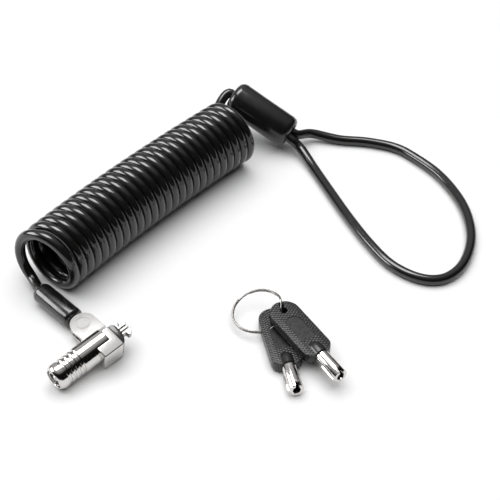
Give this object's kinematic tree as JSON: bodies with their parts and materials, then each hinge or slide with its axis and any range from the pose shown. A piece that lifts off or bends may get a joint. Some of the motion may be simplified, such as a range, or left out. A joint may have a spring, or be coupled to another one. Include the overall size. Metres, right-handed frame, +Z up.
{
  "type": "laptop cable lock",
  "caption": "Coiled vinyl-coated steel security cable with an end loop, a swivelling hook-nosed lock head and tubular keys on a split ring.",
  "frame": {"origin": "centre of the base of the box round the lock head, yoke, keys and ring, on the table the lock lies on", "axes": "+Z up from the table; +X to the right and +Y away from the front of the lock as it lies, with the coil beyond it"},
  "size_m": [0.1531, 0.138, 0.0244],
  "materials": {
    "nickel": "bright nickel plate",
    "vinyl": "glossy vinyl",
    "steel": "turned",
    "satin": "satin, fine crosshatch",
    "alloy": "swaged",
    "dark": "moulded",
    "brass": "drawn"
  },
  "bodies": {
    "cable": {"cable_coil": "vinyl", "cable_lead": "vinyl", "cable_tail": "vinyl", "cable_loop": "vinyl", "loop_sleeve": "vinyl", "loop_ferrule": "alloy", "cable_boot": "vinyl", "cable_terminal": "steel", "pivot_pin": "steel"},
    "yoke": {"yoke_cheek_upper": "nickel", "yoke_cheek_lower": "nickel", "yoke_knuckle": "nickel", "hinge_pin": "steel"},
    "head": {"nose_housing": "nickel", "barrel_sleeve": "nickel", "nose_pad": "dark", "centre_blade": "nickel"},
    "cylinder": {"key_cylinder": "steel", "centre_post": "steel", "drive_cam": "steel", "tumbler_pin_1": "brass", "tumbler_pin_2": "brass", "tumbler_pin_3": "brass", "tumbler_spring_1": "steel", "tumbler_spring_2": "steel", "tumbler_spring_3": "steel"},
    "jaw_left": {"hook_jaw_left": "nickel"},
    "jaw_right": {"hook_jaw_right": "nickel"},
    "key_ring": {"split_ring": "nickel"},
    "key_a": {"key_a_bow": "satin", "key_a_shank": "nickel"},
    "key_b": {"key_b_bow": "satin", "key_b_shank": "nickel"}
  },
  "joints": [
    {"name": "swivel_pivot", "type": "hinge", "parent": "cable", "child": "yoke", "pos_m": [-0.03594, 0.00556, 0.00345], "axis": [-0.0782, -0.0745, 0.9942], "range_deg": [-30, 30]},
    {"name": "head_hinge", "type": "hinge", "parent": "yoke", "child": "head", "pos_m": [-0.03223, -0.00051, 0.00329], "axis": [0.7199, 0.6856, 0.108], "range_deg": [-20, 25]},
    {"name": "key_turn", "type": "hinge", "parent": "head", "child": "cylinder", "pos_m": [-0.03932, -0.01372, 0.00484], "axis": [0.7199, 0.6856, 0.108], "range_deg": [0, 90]},
    {"name": "left_jaw", "type": "hinge", "parent": "head", "child": "jaw_left", "pos_m": [-0.02783, -0.00184, 0.00652], "axis": [0.1149, -0.2712, 0.9556], "range_deg": [0, 4]},
    {"name": "right_jaw", "type": "hinge", "parent": "head", "child": "jaw_right", "pos_m": [-0.02623, -0.00342, 0.00588], "axis": [0.1149, -0.2712, 0.9556], "range_deg": [-4, 0]},
    {"name": "ring_lift", "type": "slide", "parent": "cable", "child": "key_ring", "axis": [0, 0, 1], "range_m": [0, 0.06]},
    {"name": "key_a_swing", "type": "hinge", "parent": "key_ring", "child": "key_a", "pos_m": [0.01861, 0.01201, 0.0045], "axis": [-0.225, -0.1356, 0.9649], "range_deg": [0, 30]},
    {"name": "key_b_swing", "type": "hinge", "parent": "key_ring", "child": "key_b", "pos_m": [0.01861, 0.01201, 0.0045], "axis": [-0.225, -0.1356, 0.9649], "range_deg": [-20, 0]}
  ],
  "couplings": [
    {"joint": "left_jaw", "follows": "key_turn", "ratio": 0.044},
    {"joint": "right_jaw", "follows": "key_turn", "ratio": -0.044}
  ]
}
